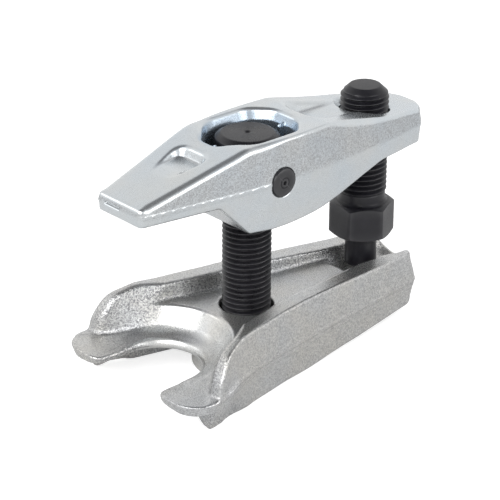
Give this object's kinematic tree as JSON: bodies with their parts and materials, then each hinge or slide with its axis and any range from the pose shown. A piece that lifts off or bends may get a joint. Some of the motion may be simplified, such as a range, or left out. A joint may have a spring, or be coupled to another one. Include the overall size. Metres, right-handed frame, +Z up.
{
  "type": "ball joint separator",
  "caption": "Hand tool with a forged fork and a rocking lever on a threaded hinge bolt; a pressure screw tilts the lever to press a ball joint's stud out of its seat.",
  "frame": {"origin": "on the hinge bolt's axis, in the plane of the fork's foot", "axes": "+Z up along the hinge bolt, -X towards the jaw and the lever's pressing tip, +X towards the pressure screw, +Y to the side"},
  "size_m": [0.141, 0.076, 0.0939],
  "materials": {
    "fork_zinc": "zinc-plated steel forging, fine grainy satin",
    "lever_zinc": "bright blue-passivated zinc on forged steel, as-forged sides",
    "black_steel": "black oxide, oiled satin",
    "plain_steel": "ground hardened steel"
  },
  "bodies": {
    "fork": {"fork": "fork_zinc", "thrust_washer": "plain_steel", "nut_retaining_ring": "black_steel"},
    "adjuster": {"adjusting_nut": "black_steel"},
    "hinge_bolt": {"hinge_bolt": "black_steel"},
    "lever": {"lever": "lever_zinc", "hinge_pin": "black_steel"},
    "thrust_ball": {"thrust_ball": "plain_steel"},
    "pressure_screw": {"pressure_screw": "black_steel"}
  },
  "joints": [
    {"name": "nut_spin", "type": "hinge", "parent": "fork", "child": "adjuster", "pos_m": [0, 0, 0.008], "axis": [0, 0, -1], "range_deg": [0, 1090]},
    {"name": "bolt_lift", "type": "slide", "parent": "fork", "child": "hinge_bolt", "axis": [0, 0, 1], "range_m": [0, 0.006]},
    {"name": "lever_tilt", "type": "hinge", "parent": "hinge_bolt", "child": "lever", "pos_m": [0, 0, 0.0772], "axis": [0, -1, 0], "range_deg": [-5.2, 8.2]},
    {"name": "screw_feed", "type": "slide", "parent": "lever", "child": "thrust_ball", "axis": [0, 0, -1], "range_m": [-0.0052, 0.0083]},
    {"name": "screw_spin", "type": "hinge", "parent": "thrust_ball", "child": "pressure_screw", "pos_m": [0.0576, 0, 0.0414], "axis": [0, 0, -1], "range_deg": [-900, 1440]}
  ],
  "couplings": [
    {"joint": "nut_spin", "follows": "bolt_lift", "rad_per_m": 3141.6},
    {"joint": "screw_feed", "follows": "screw_spin", "m_per_rad": 0.00031831},
    {"joint": "lever_tilt", "follows": "screw_spin", "ratio": 0.0055262}
  ]
}
